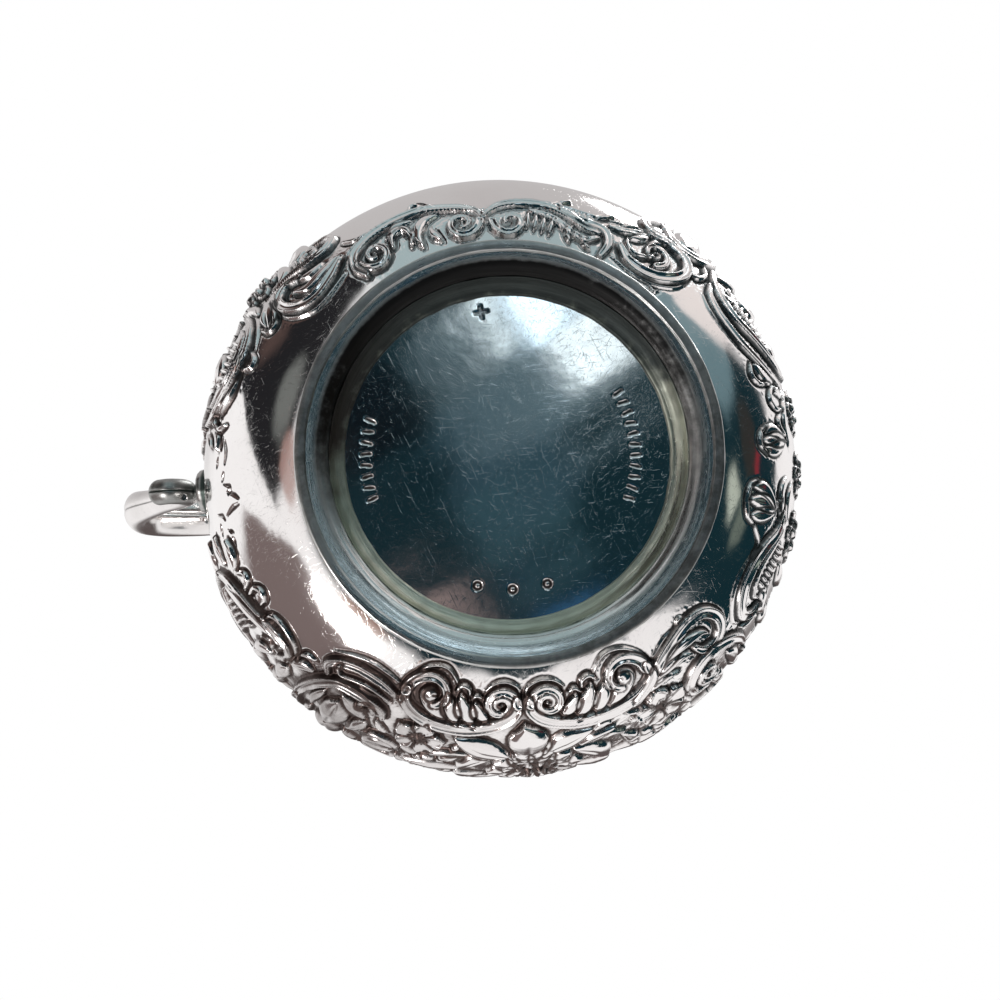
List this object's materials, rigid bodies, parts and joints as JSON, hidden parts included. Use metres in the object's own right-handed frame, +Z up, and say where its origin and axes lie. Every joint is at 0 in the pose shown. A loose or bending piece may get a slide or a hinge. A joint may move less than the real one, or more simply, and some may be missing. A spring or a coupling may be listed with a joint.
{
  "type": "cream jug",
  "caption": "Low round-bellied silver cream jug on a flared foot, with scrolls and flowers raised round the belly, a drawn pouring lip and a hollow scroll handle.",
  "frame": {"origin": "under the middle of the bounding box, on the surface that the foot stands on", "axes": "+Z up, out of the mouth; +X towards the pouring lip; the handle is on -X; the plain panel in the raised decoration faces -Y"},
  "size_m": [0.108, 0.0864, 0.0779],
  "materials": {
    "silver_polished": "polished silver with fine scratches, darkened in the chased lines",
    "silver_worn": "hand-worn silver, satin, with grey-green tarnish in the corners",
    "solder": "dull tarnished silver solder"
  },
  "bodies": {
    "root": {"body_bowl": "silver_polished", "neck_and_lip": "silver_polished", "rim_wire": "silver_polished", "shoulder_wire": "silver_polished", "foot_ring": "silver_worn", "foot_wire": "silver_worn", "foot_solder_ring": "solder", "handle_shell_right": "silver_worn", "handle_shell_left": "silver_worn", "handle_upper_pad": "silver_worn", "handle_lower_pad": "silver_worn"}
  },
  "joints": []
}
